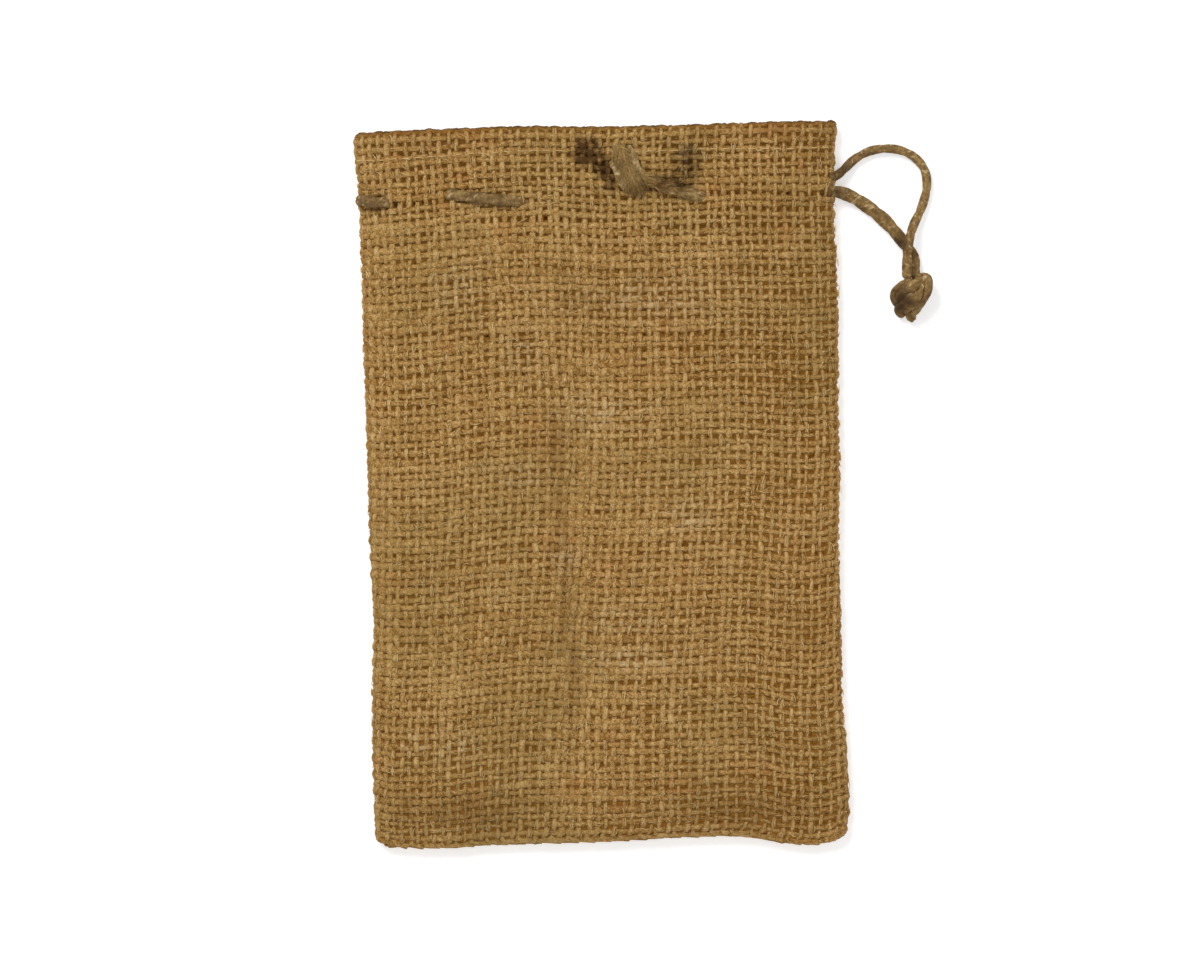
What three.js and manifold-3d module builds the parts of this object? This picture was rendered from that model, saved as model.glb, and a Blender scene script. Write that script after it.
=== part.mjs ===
// A small burlap drawstring pouch, empty, lying flat on its back with its mouth towards +Y.
// One strip of burlap is folded across the bottom, seamed up both sides, turned right side out
// and hemmed inwards round the mouth. A thin cord runs in and out through the hem, wraps the left
// edge, leaves through the right edge as two strands, and ends in an overhand knot.
// Millimetres, +Z up. The origin is under the middle of the cloth, on the surface it lies on.
import * as THREE from 'three';
import { mergeVertices } from 'three/addons/utils/BufferGeometryUtils.js';
import Module from 'manifold-3d';

const wasm = await Module();
wasm.setup();

// Driving dimensions
const CLOTH_WIDTH = 103;        // mean width of the flat pouch
const CLOTH_HEIGHT = 152.5;     // mean height, mouth to bottom fold
const PLY = 1.4;                // burlap, two crossing yarns thick
const HEM_PLY = 2.2;            // the same cloth doubled by the hem and pressed together
const HEM_DEPTH = 25;           // how far the hem reaches down inside
const HEM_FADE = 45;            // distance below the mouth where the cloth is as low as the body
const BODY_HEIGHT = 8.8;        // outside height of the slack pouch
const NECK_HEIGHT = 11;         // outside height over the doubled hem
const EDGE_HEIGHT = 2.6;        // height at which the side and bottom folds stand out furthest
const FOLD_STEP = 1.2;          // height that the upper wall gains in its first rounding
const CROWN = 10;               // how gently the upper wall rises from there
const FOLD_RADIUS = 3;          // rounding of both walls at a fold
const CORD_DIAMETER = 2.2;
const CORD_CLEARANCE = 0.35;    // cloth and knot are cut back this far from the cord
const CORD_SIDES = 8;
const STEP_LOSS = 0.65;         // how much lower that first rounding is inside, for each mm of ply
const STITCH_LIFT = 1.4;        // how far a cord stitch under the pouch lifts the lower wall

const burlap = new THREE.MeshStandardMaterial({ color: 0xa07d49, roughness: 0.95, metalness: 0 });
const cordTan = new THREE.MeshStandardMaterial({ color: 0x8b744c, roughness: 0.7, metalness: 0 });

// Outline of the cloth as it lies, [x, y]. The four edges share their corners.
const leftEdge = outline([
  [-46.9, -75.6], [-48.2, -71.5], [-48.5, -50], [-48.5, -32], [-49.2, -8], [-49.9, 15],
  [-50.6, 35], [-51.1, 52], [-51.7, 63], [-52.5, 71.5], [-52.7, 74.6],
]);
const rightEdge = outline([
  [51.4, -74.8], [52.9, -69.5], [52.4, -57], [51.4, -45], [50.8, -22], [50.8, 5],
  [50.4, 27], [50.5, 39], [49.8, 55], [49.7, 70], [50.4, 77.2],
]);
const bottomEdge = outline([
  [-46.9, -75.6], [-43, -76.9], [-32, -77.2], [-22, -76.4], [0, -75.9], [18, -74.9],
  [31, -74.7], [39, -76.3], [46, -76.6], [51.4, -74.8],
]);
const mouthEdge = outline([
  [-52.7, 74.6], [-34, 75.3], [-15, 75.8], [0, 75.7], [21, 76.3], [40, 77], [50.4, 77.2],
]);

// The cord from the knot through the pouch and back to the knot, [x, y, z].
const cordRoute = [
  // lower strand, from the knot over the surface to the right edge
  [66.5, 43.3, 1.6], [66.7, 45.8, 1.5], [66.3, 48.4, 1.2], [64.4, 51.1, 1.15], [62.2, 53.9, 1.15],
  [59.7, 56.5, 1.15], [56.7, 58.9, 1.2], [53.3, 61, 1.7], [50.4, 62, 2.6],
  // behind the front wall
  [47.2, 62.2, 3.5], [41.1, 61.9, 4.4], [33.7, 61.3, 5.9], [26.6, 60.7, 6.7],
  // out and up the hump, in at its top, round a small loop behind the wall and down again
  [22.9, 60.7, 8.8], [20.2, 60.9, 10.4], [16.5, 61.7, 10.9], [12.5, 62.9, 11], [9.2, 64.6, 11.2],
  [7.4, 66.5, 11.4], [6.5, 68.5, 11.2], [5.8, 70.4, 10.2], [4.7, 71.9, 8.5], [2.9, 72.6, 7.2],
  [1, 71.9, 6.7], [0.2, 70.1, 7.2], [1.2, 68.5, 8.7], [2.9, 67.3, 10.4], [3.9, 65.5, 11.3],
  [4.8, 63.5, 11.1], [5.8, 61.7, 10],
  // behind the front wall
  [6, 59.9, 8.5], [4.3, 58.6, 7.1], [0.5, 58.4, 6.7], [-5.5, 58.8, 6.6], [-11.7, 59.2, 6.8],
  // the long stitch on the front
  [-15, 59.4, 8.8], [-17.6, 59.6, 10.4], [-21.4, 59.9, 10.8], [-26.7, 60.4, 10.5],
  [-30.7, 60.9, 9.8], [-33.2, 61.1, 8.1],
  // behind the front wall, out near the left edge and round it
  [-36.4, 60.9, 5.9], [-40, 60.3, 5], [-43.2, 59.7, 5.7], [-45.7, 59.5, 6.9],
  [-47.8, 59.6, 6.8], [-49.6, 59.9, 5.9], [-50.8, 60.1, 4.6], [-51.1, 60.2, 3.3],
  // under the back wall, in, and out again for two stitches under it
  [-50.6, 60.2, 2], [-49.3, 60.1, 1.25], [-47.2, 59.8, 1.15], [-43.2, 58.7, 1.5], [-40.2, 58, 3.2],
  [-37, 57.6, 3.6], [-33.8, 57.4, 3.1], [-31, 57.3, 1.6], [-27, 57.2, 1.15], [-20, 57.1, 1.15],
  [-16.5, 57.1, 1.6], [-13.4, 57.1, 3.2], [-9, 57.1, 3.8], [0, 57.1, 3.8], [4.4, 57.2, 3.3],
  [7.4, 57.3, 1.7], [11, 57.3, 1.15], [18, 57.4, 1.15], [21.5, 57.6, 1.6], [24.8, 58.2, 3.2],
  // under the other strand and out through the right edge
  [29.5, 60.2, 3.2], [35, 63, 3.1], [41, 65, 3.1], [46.3, 65.2, 3.1], [49.5, 65.3, 2.7],
  [51.5, 66.8, 1.8],
  // upper strand, round its loop on the surface and over the lower strand to the knot
  [53.8, 69, 1.15], [56.9, 70.7, 1.15], [60.5, 71.3, 1.15], [63.7, 70.9, 1.15],
  [66.5, 69.5, 1.15], [68.6, 67, 1.15], [69.2, 63.6, 1.15], [68.6, 60.4, 1.15],
  [67.7, 57.9, 1.3], [66.4, 55.2, 2], [65.4, 52.2, 3.5], [64.9, 49.2, 3.8], [64.8, 46, 3.8],
  [64.8, 43.3, 3.8],
];

// The turns of the overhand knot: centre, half-lengths along, across and up, and heading in degrees.
const knotTurns = [
  { at: [67.2, 40.6, 2.6], half: [4.3, 1.7, 2.3], heading: 63 },
  { at: [64.4, 41.2, 2.7], half: [3.0, 2.6, 2.6], heading: 20 },
  { at: [62.7, 39.9, 2.2], half: [2.0, 1.5, 1.9], heading: 70 },
  { at: [64.6, 38.2, 2.3], half: [2.4, 1.9, 2.1], heading: 0 },
  { at: [63.5, 37.0, 1.7], half: [1.5, 1.2, 1.5], heading: -40 },
  { at: [65.9, 36.3, 1.7], half: [2.5, 1.1, 1.4], heading: -68 },
];

function outline(points) {
  return new THREE.SplineCurve(points.map(([x, y]) => new THREE.Vector2(x, y)));
}

// The point of the cloth a share `across` from left to right and `up` from bottom fold to mouth.
function onOutline(across, up) {
  const left = leftEdge.getPointAt(up);
  const right = rightEdge.getPointAt(up);
  const bottom = bottomEdge.getPointAt(across);
  const mouth = mouthEdge.getPointAt(across);
  const corners = [leftEdge.getPointAt(0), rightEdge.getPointAt(0), leftEdge.getPointAt(1),
    rightEdge.getPointAt(1)];
  const blend = (axis) => left[axis] * (1 - across) + right[axis] * across
    + bottom[axis] * (1 - up) + mouth[axis] * up
    - (corners[0][axis] * (1 - across) + corners[1][axis] * across) * (1 - up)
    - (corners[2][axis] * (1 - across) + corners[3][axis] * across) * up;
  return { x: blend('x'), y: blend('y') };
}

const bell = (distance, width) => Math.exp(-((distance / width) ** 2));
const climb = (distance) => 1 - Math.exp(-Math.max(distance, 0) / CROWN);
const rounding = (distance) => Math.sqrt(1 - (1 - Math.max(distance, 0) / FOLD_RADIUS) ** 2);

// Height of the upper wall's plateau: higher over the hem, with the slack cloth's soft folds.
function plateau(x, y, belowMouth) {
  const hem = THREE.MathUtils.smoothstep(HEM_FADE - belowMouth, 0, HEM_FADE - HEM_DEPTH);
  const slack = 1 - THREE.MathUtils.smoothstep(y, 30, 55);
  const middleTrough = -0.7 * bell(x + 5, 8) * slack;
  const leftSwell = 0.35 * bell(x + 30, 14) * bell(y - 5, 40);
  const rightTrough = -0.45 * bell(x - 24 + 0.12 * y, 7) * bell(y + 20, 30);
  const shelf = -0.4 * bell(y - 26, 6) * bell(x - 18, 20);
  return BODY_HEIGHT + (NECK_HEIGHT - BODY_HEIGHT) * hem + middleTrough + leftSwell
    + rightTrough + shelf;
}

// How far the lower wall is pushed up by a cord stitch that lies under it.
function overStitch(x, y) {
  const overRun = (from, to, line) => bell(Math.max(from - x, x - to, 0), 3.5) * bell(y - line, 4);
  return STITCH_LIFT * (overRun(-49, -43, 59.5) + overRun(-29, -18, 57.2) + overRun(9, 20, 57.4));
}

// A place on one wall, `inset` mm in from the outside of the cloth.
function wallPoint(across, up, upper, inset) {
  const edge = inset / CLOTH_WIDTH;
  const shareAcross = edge + across * (1 - 2 * edge);
  const floorShare = inset / CLOTH_HEIGHT;
  const shareUp = floorShare + up * (1 - floorShare);
  const { x, y } = onOutline(shareAcross, shareUp);
  const fromFolds = [shareAcross * CLOTH_WIDTH, (1 - shareAcross) * CLOTH_WIDTH,
    shareUp * CLOTH_HEIGHT].map((distance) => distance - inset);
  const near = Math.min(...fromFolds, FOLD_RADIUS);
  if (upper) {
    const top = plateau(x, y, (1 - shareUp) * CLOTH_HEIGHT) - inset;
    const foot = EDGE_HEIGHT + Math.max(FOLD_STEP - STEP_LOSS * inset, 0) * rounding(near);
    const lift = fromFolds.reduce((product, distance) => product * climb(distance), 1);
    return new THREE.Vector3(x, y, foot + (top - foot) * lift);
  }
  const low = inset + (near < FOLD_RADIUS ? 0 : overStitch(x, y));
  return new THREE.Vector3(x, y, EDGE_HEIGHT + (low - EDGE_HEIGHT) * rounding(near));
}

// Shares of the width and height at which the cloth is sampled, closer together at folds and cord.
const fromEdge = [0, 0.4, 1.3, 3, 6.2, 11];
const columns = [...fromEdge, 18, 26, 34, 41, 47, 53, 60, 67, 75, 84,
  ...fromEdge.map((distance) => CLOTH_WIDTH - distance).reverse()]
  .map((distance) => distance / CLOTH_WIDTH);
const rows = [0, 0.35, 1.2, 2.6, 5.2, 10, 17, 25, 33, 41, 49, 57, 65, 73, 81, 89, 97, 105, 112,
  118, 123, 125.5, 127.5, 130, 132, 134, 136, 138, 141, 144.5, 148.5, CLOTH_HEIGHT]
  .map((distance) => distance / CLOTH_HEIGHT);

// A closed hollow shell: outside, inside, the bottom of each and the rim round the mouth.
function pouchShell() {
  const ringSize = 2 * columns.length - 2;
  const places = [];
  const triangles = [];
  const insetAt = (up) => {
    const belowMouth = (1 - up) * CLOTH_HEIGHT;
    return belowMouth < HEM_DEPTH ? HEM_PLY : PLY;
  };
  const ring = (up, inset) => [
    ...columns.map((across) => wallPoint(across, up, true, inset)),
    ...columns.slice(1, -1).reverse().map((across) => wallPoint(across, up, false, inset)),
  ];
  const addWall = (insetOf) => {
    const first = places.length;
    rows.forEach((up) => places.push(...ring(up, insetOf(up))));
    return first;
  };
  const quad = (a, b, c, d) => triangles.push(a, b, c, a, c, d);
  const outer = addWall(() => 0);
  const inner = addWall(insetAt);
  for (const [first, flip] of [[outer, false], [inner, true]]) {
    for (let row = 0; row + 1 < rows.length; row += 1) {
      for (let i = 0; i < ringSize; i += 1) {
        const next = (i + 1) % ringSize;
        const [a, b] = [first + row * ringSize + i, first + row * ringSize + next];
        if (flip) quad(a, a + ringSize, b + ringSize, b);
        else quad(a, b, b + ringSize, a + ringSize);
      }
    }
    for (let i = 0; i + 1 < columns.length; i += 1) {
      const under = (k) => first + ((ringSize - k) % ringSize);
      const strip = [first + i, under(i), under(i + 1), first + i + 1];
      if (flip) strip.reverse();
      if (strip[0] === strip[1]) triangles.push(strip[0], strip[2], strip[3]);
      else if (strip[2] === strip[3]) triangles.push(strip[0], strip[1], strip[2]);
      else quad(...strip);
    }
  }
  const last = (rows.length - 1) * ringSize;
  for (let i = 0; i < ringSize; i += 1) {
    const next = (i + 1) % ringSize;
    quad(outer + last + i, outer + last + next, inner + last + next, inner + last + i);
  }
  return solidOf(places.flatMap((place) => place.toArray()), triangles);
}

function solidOf(vertices, triangles) {
  return new wasm.Manifold(new wasm.Mesh({
    numProp: 3,
    vertProperties: new Float32Array(vertices),
    triVerts: new Uint32Array(triangles),
  }));
}

function solidFrom(geometry) {
  geometry.deleteAttribute('normal');
  geometry.deleteAttribute('uv');
  const merged = mergeVertices(geometry, 1e-4);
  return solidOf([...merged.attributes.position.array], [...merged.index.array]);
}

function geometryFrom(solid) {
  const mesh = solid.getMesh();
  const geometry = new THREE.BufferGeometry();
  geometry.setAttribute('position', new THREE.BufferAttribute(mesh.vertProperties, 3));
  geometry.setIndex(new THREE.BufferAttribute(mesh.triVerts, 1));
  geometry.computeVertexNormals();
  return geometry;
}

// A curve with one step between each two route points, so that tight turns get shorter steps.
class RouteCurve extends THREE.CatmullRomCurve3 {
  getSpacedPoints(divisions) { return this.getPoints(divisions); }

  getTangentAt(share, target) { return this.getTangent(share, target); }
}

function cordTube(diameter) {
  const section = new THREE.Shape();
  for (let side = 0; side < CORD_SIDES; side += 1) {
    const angle = (2 * Math.PI * side) / CORD_SIDES;
    const [x, y] = [Math.cos(angle), Math.sin(angle)].map((part) => (part * diameter) / 2);
    if (side === 0) section.moveTo(x, y);
    else section.lineTo(x, y);
  }
  const route = new RouteCurve(cordRoute.map((point) => new THREE.Vector3(...point)), false,
    'centripetal');
  return new THREE.ExtrudeGeometry(section, { steps: cordRoute.length - 1, extrudePath: route });
}

function knotBody() {
  return knotTurns.map(({ at, half, heading }) => {
    const turn = new THREE.SphereGeometry(1, 10, 7);
    turn.scale(...half);
    turn.rotateZ(THREE.MathUtils.degToRad(heading));
    turn.translate(...at);
    return solidFrom(turn);
  }).reduce((body, turn) => body.add(turn));
}

const cordRoom = solidFrom(cordTube(CORD_DIAMETER + 2 * CORD_CLEARANCE));
const endRoom = [cordRoute[0], cordRoute.at(-1)].map((end) => {
  const ball = new THREE.SphereGeometry(CORD_DIAMETER / 2 + 2 * CORD_CLEARANCE, 10, 7);
  return solidFrom(ball.translate(...end));
});
const largest = (solid) => solid.decompose().sort((a, b) => b.volume() - a.volume())[0];

const cloth = new THREE.Mesh(geometryFrom(largest(pouchShell().subtract(cordRoom))), burlap);
cloth.name = 'burlap_sack_cloth';

const cord = new THREE.Mesh(cordTube(CORD_DIAMETER), cordTan);
cord.name = 'drawstring';

const knotSolid = [cordRoom, ...endRoom].reduce((body, room) => body.subtract(room), knotBody());
const knot = new THREE.Mesh(geometryFrom(largest(knotSolid)), cordTan);
knot.name = 'drawstring_knot';

const pouch = new THREE.Group();
pouch.add(cloth, cord, knot);

export default pouch;
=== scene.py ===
import math

import bpy
import numpy as np
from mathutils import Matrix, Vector


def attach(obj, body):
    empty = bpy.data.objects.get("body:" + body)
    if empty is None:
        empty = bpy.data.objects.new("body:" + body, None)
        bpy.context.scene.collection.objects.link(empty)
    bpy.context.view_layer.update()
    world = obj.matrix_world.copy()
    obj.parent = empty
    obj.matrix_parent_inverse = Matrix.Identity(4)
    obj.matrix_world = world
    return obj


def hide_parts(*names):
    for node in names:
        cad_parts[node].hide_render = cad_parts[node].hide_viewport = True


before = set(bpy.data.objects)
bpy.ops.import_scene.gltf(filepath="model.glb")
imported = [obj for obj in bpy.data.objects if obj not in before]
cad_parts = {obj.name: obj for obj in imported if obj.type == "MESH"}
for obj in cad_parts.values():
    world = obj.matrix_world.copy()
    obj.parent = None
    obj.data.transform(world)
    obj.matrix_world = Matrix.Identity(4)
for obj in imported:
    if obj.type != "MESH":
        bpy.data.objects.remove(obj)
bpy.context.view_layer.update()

rng = np.random.default_rng(7)

# --- Sizes -----------------------------------------------------------------------------------
CLOTH_WIDTH = 0.103
CLOTH_HEIGHT = 0.1525
PLY = 0.0014
BODY_HEIGHT = 0.0088
NECK_HEIGHT = 0.011
EDGE_HEIGHT = 0.0026
FOLD_STEP = 0.0012
CROWN = 0.01
FOLD_RADIUS = 0.003
STEP_LOSS = 0.65
HEM_DEPTH = 0.025
HEM_FADE = 0.045
STITCH_LIFT = 0.0014

WARPS_AROUND = 110           # warp yarns, counted right round the sack
WEFT_ROWS = 88               # weft yarns from the bottom fold to the rim of the mouth
HEM_ROWS = 14                # weft yarns in the turned-in hem
YARN_WIDTH = 0.00133
WARP_WIDTH = 0.00124         # on the front, warps are drawn tight and wefts spread flat
WEFT_WIDTH = 0.00153
BACK_WARP_WIDTH = 0.00194
BACK_WEFT_WIDTH = 0.00214
HEM_WIDTH = 1.12 * YARN_WIDTH
YARN_THICKNESS = 0.0008
WARP_CRIMP = 0.0003          # how far a yarn swings to each side of the middle of the cloth
WEFT_CRIMP = 0.00014
YARN_TURN = 0.0042           # length in which a yarn's slightly flat section turns round once
HEM_LIT = -0.25              # the hem gets a little painted glow and painted shade, as the inner side of a yarn does
HEM_INSET = 0.0011           # from the middle of the outer ply to the middle of the hem's inner ply

# Outline of the cloth as it lies. The four edges share their corners.
LEFT_EDGE = [
    (-0.0469, -0.0756), (-0.0482, -0.0715), (-0.0485, -0.05), (-0.0485, -0.032),
    (-0.0492, -0.008), (-0.0499, 0.015), (-0.0506, 0.035), (-0.0511, 0.052),
    (-0.0517, 0.063), (-0.0525, 0.0715), (-0.0527, 0.0746),
]
RIGHT_EDGE = [
    (0.0514, -0.0748), (0.0529, -0.0695), (0.0524, -0.057), (0.0514, -0.045),
    (0.0508, -0.022), (0.0508, 0.005), (0.0504, 0.027), (0.0505, 0.039),
    (0.0498, 0.055), (0.0497, 0.07), (0.0504, 0.0772),
]
BOTTOM_EDGE = [
    (-0.0469, -0.0756), (-0.043, -0.0769), (-0.032, -0.0772), (-0.022, -0.0764),
    (0.0, -0.0759), (0.018, -0.0749), (0.031, -0.0747), (0.039, -0.0763),
    (0.046, -0.0766), (0.0514, -0.0748),
]
MOUTH_EDGE = [
    (-0.0527, 0.0746), (-0.034, 0.0753), (-0.015, 0.0758), (0.0, 0.0757),
    (0.021, 0.0763), (0.04, 0.077), (0.0504, 0.0772),
]

# The cord from the knot through the sack and back to the knot.
CORD_ROUTE = [
    # lower strand, from the knot over the surface to the right edge
    (0.0665, 0.0433, 0.0016), (0.0667, 0.0458, 0.0015), (0.0663, 0.0484, 0.0012),
    (0.0644, 0.0511, 0.00115), (0.0622, 0.0539, 0.00115), (0.0597, 0.0565, 0.00115),
    (0.0567, 0.0589, 0.0012), (0.0533, 0.061, 0.0017), (0.0504, 0.062, 0.0026),
    # behind the front wall
    (0.0472, 0.0622, 0.0035), (0.0411, 0.0619, 0.0044), (0.0337, 0.0613, 0.0059),
    (0.0266, 0.0607, 0.0067),
    # out and up the hump, in at its top, round a small loop behind the wall and down again
    (0.0229, 0.0607, 0.0088), (0.0202, 0.0609, 0.0104), (0.0165, 0.0617, 0.0109),
    (0.0125, 0.0629, 0.011), (0.0092, 0.0646, 0.0112), (0.0074, 0.0665, 0.0114),
    (0.0065, 0.0685, 0.0112), (0.0058, 0.0704, 0.0102), (0.0047, 0.0719, 0.0085),
    (0.0029, 0.0726, 0.0072), (0.001, 0.0719, 0.0067), (0.0002, 0.0701, 0.0072),
    (0.0012, 0.0685, 0.0087), (0.0029, 0.0673, 0.0104), (0.0039, 0.0655, 0.0113),
    (0.0048, 0.0635, 0.0111), (0.0058, 0.0617, 0.01),
    # behind the front wall
    (0.006, 0.0599, 0.0085), (0.0043, 0.0586, 0.0071), (0.0005, 0.0584, 0.0067),
    (-0.0055, 0.0588, 0.0066), (-0.0117, 0.0592, 0.0068),
    # the long stitch on the front
    (-0.015, 0.0594, 0.0088), (-0.0176, 0.0596, 0.0104), (-0.0214, 0.0599, 0.0108),
    (-0.0267, 0.0604, 0.0105), (-0.0307, 0.0609, 0.0098), (-0.0332, 0.0611, 0.0081),
    # behind the front wall, out near the left edge and round it
    (-0.0364, 0.0609, 0.0059), (-0.04, 0.0603, 0.005), (-0.0432, 0.0597, 0.0057),
    (-0.0457, 0.0595, 0.0069), (-0.0478, 0.0596, 0.0068), (-0.0496, 0.0599, 0.0059),
    (-0.0508, 0.0601, 0.0046), (-0.0511, 0.0602, 0.0033),
    # under the back wall, in, and out again for two stitches under it
    (-0.0506, 0.0602, 0.002), (-0.0493, 0.0601, 0.00125), (-0.0472, 0.0598, 0.00115),
    (-0.0432, 0.0587, 0.0015), (-0.0402, 0.058, 0.0032), (-0.037, 0.0576, 0.0036),
    (-0.0338, 0.0574, 0.0031), (-0.031, 0.0573, 0.0016), (-0.027, 0.0572, 0.00115),
    (-0.02, 0.0571, 0.00115), (-0.0165, 0.0571, 0.0016), (-0.0134, 0.0571, 0.0032),
    (-0.009, 0.0571, 0.0038), (0.0, 0.0571, 0.0038), (0.0044, 0.0572, 0.0033),
    (0.0074, 0.0573, 0.0017), (0.011, 0.0573, 0.00115), (0.018, 0.0574, 0.00115),
    (0.0215, 0.0576, 0.0016), (0.0248, 0.0582, 0.0032),
    # under the other strand and out through the right edge
    (0.0295, 0.0602, 0.0032), (0.035, 0.063, 0.0031), (0.041, 0.065, 0.0031),
    (0.0463, 0.0652, 0.0031), (0.0495, 0.0653, 0.0027), (0.0515, 0.0668, 0.0018),
    # upper strand, round its loop on the surface and over the lower strand to the knot
    (0.0538, 0.069, 0.00115), (0.0569, 0.0707, 0.00115), (0.0605, 0.0713, 0.00115),
    (0.0637, 0.0709, 0.00115), (0.0665, 0.0695, 0.00115), (0.0686, 0.067, 0.00115),
    (0.0692, 0.0636, 0.00115), (0.0686, 0.0604, 0.00115), (0.0677, 0.0579, 0.0013),
    (0.0664, 0.0552, 0.002), (0.0654, 0.0522, 0.0035), (0.0649, 0.0492, 0.0038),
    (0.0648, 0.046, 0.0038), (0.0648, 0.0433, 0.0038),
]


# --- Camera, straight above ------------------------------------------------------------------
CAMERA_HEIGHT = 1.1
FIELD_WIDTH = 0.254
VIEW_CENTRE = (-0.0002, 0.00095)


def make_camera():
    data = bpy.data.cameras.new("Camera")
    data.sensor_width = 36.0
    data.lens = data.sensor_width * (CAMERA_HEIGHT - 0.5 * BODY_HEIGHT) / FIELD_WIDTH
    camera = bpy.data.objects.new("Camera", data)
    camera.location = (*VIEW_CENTRE, CAMERA_HEIGHT)
    bpy.context.collection.objects.link(camera)
    bpy.context.scene.camera = camera


# --- Curves and noise ------------------------------------------------------------------------
def spline_through(points, per_span, centripetal=False):
    """Points on a Catmull-Rom curve through points, per_span for each stretch between two."""
    points = np.asarray(points, float)
    first, last = 2 * points[0] - points[1], 2 * points[-1] - points[-2]
    ends, power = ((first, last), 0.5) if centripetal else ((points[0], points[-1]), 0)
    p = np.vstack([ends[0], points, ends[1]])
    share = np.arange(per_span)[:, None] / per_span
    found = []
    for a, b, c, d in zip(p, p[1:], p[2:], p[3:]):
        t1 = np.linalg.norm(b - a) ** power
        t2 = t1 + np.linalg.norm(c - b) ** power
        t3 = t2 + np.linalg.norm(d - c) ** power
        t = t1 + share * (t2 - t1)
        ab = (t1 - t) / t1 * a + t / t1 * b
        bc = (t2 - t) / (t2 - t1) * b + (t - t1) / (t2 - t1) * c
        cd = (t3 - t) / (t3 - t2) * c + (t - t2) / (t3 - t2) * d
        abc = (t2 - t) / t2 * ab + t / t2 * bc
        bcd = (t3 - t) / (t3 - t1) * bc + (t - t1) / (t3 - t1) * cd
        found.append((t2 - t) / (t2 - t1) * abc + (t - t1) / (t2 - t1) * bcd)
    return np.vstack([*found, points[-1]])


def lengths_along(lines):
    """Distance from the start of a line, or of each of several, to each of its points."""
    steps = np.linalg.norm(np.diff(lines, axis=-2), axis=-1)
    return np.concatenate([np.zeros((*steps.shape[:-1], 1)), np.cumsum(steps, -1)], -1)


def evenly(line, count):
    """count points spaced evenly along a line."""
    along = lengths_along(line)
    at = np.linspace(0, along[-1], count)
    return np.stack([np.interp(at, along, line[:, k]) for k in range(line.shape[1])], 1)


def smooth_noise(rows, length, reach):
    """rows of random values with deviation 1, alike over about reach neighbours."""
    raw = rng.standard_normal((rows, length + 4 * reach))
    kernel = np.exp(-0.5 * (np.arange(-2 * reach, 2 * reach + 1) / (0.6 * reach)) ** 2)
    kernel /= np.sqrt((kernel**2).sum())
    return np.stack([np.convolve(row, kernel, "valid") for row in raw])


def smoothstep(x, low, high):
    share = np.clip((x - low) / (high - low), 0, 1)
    return share * share * (3 - 2 * share)


def bell(distance, width):
    return np.exp(-((distance / width) ** 2))


def unit(vectors):
    return vectors / np.maximum(np.linalg.norm(vectors, axis=-1, keepdims=True), 1e-12)


# --- The walls of the sack -------------------------------------------------------------------
EDGES = [evenly(spline_through(edge, 24), 400)
         for edge in (LEFT_EDGE, RIGHT_EDGE, BOTTOM_EDGE, MOUTH_EDGE)]


def on_outline(across, up):
    """The place on the flat cloth a share across from left to right and up from fold to mouth."""
    grid = np.linspace(0, 1, 400)
    place = []
    for axis in (0, 1):
        left, right = (np.interp(up, grid, edge[:, axis]) for edge in EDGES[:2])
        bottom, mouth = (np.interp(across, grid, edge[:, axis]) for edge in EDGES[2:])
        low_left, high_left = EDGES[0][0, axis], EDGES[0][-1, axis]
        low_right, high_right = EDGES[1][0, axis], EDGES[1][-1, axis]
        place.append(left * (1 - across) + right * across + bottom * (1 - up) + mouth * up
                     - (low_left * (1 - across) + low_right * across) * (1 - up)
                     - (high_left * (1 - across) + high_right * across) * up)
    return place


def climb(distance):
    return 1 - np.exp(-np.maximum(distance, 0) / CROWN)


def rounding(distance):
    near = np.clip(distance, 0, FOLD_RADIUS)
    return np.sqrt(1 - (1 - near / FOLD_RADIUS) ** 2)


def foot(distance, inset):
    """Height to which the upper wall's first rounding takes it."""
    return EDGE_HEIGHT + max(FOLD_STEP - STEP_LOSS * inset, 0) * rounding(distance)


def plateau(x, y, below_mouth):
    """Height of the upper wall away from its folds, with the slack cloth's soft troughs."""
    hem = smoothstep(HEM_FADE - below_mouth, 0, HEM_FADE - HEM_DEPTH)
    slack = 1 - smoothstep(y, 0.03, 0.055)
    folds = -0.0007 * bell(x + 0.005, 0.008) * slack
    folds += 0.00035 * bell(x + 0.03, 0.014) * bell(y - 0.005, 0.04)
    folds -= 0.00045 * bell(x - 0.024 + 0.12 * y, 0.007) * bell(y + 0.02, 0.03)
    folds -= 0.0004 * bell(y - 0.026, 0.006) * bell(x - 0.018, 0.02)
    return BODY_HEIGHT + (NECK_HEIGHT - BODY_HEIGHT) * hem + folds


def over_stitch(x, y):
    """How far the lower wall is lifted by the cord's stitches under it."""
    lift = 0.0
    for start, end, line in ((-0.049, -0.043, 0.0595), (-0.029, -0.018, 0.0572),
                             (0.009, 0.02, 0.0574)):
        lift = lift + bell(np.maximum(np.maximum(start - x, x - end), 0), 0.0035) * bell(
            y - line, 0.004)
    return STITCH_LIFT * lift


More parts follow.
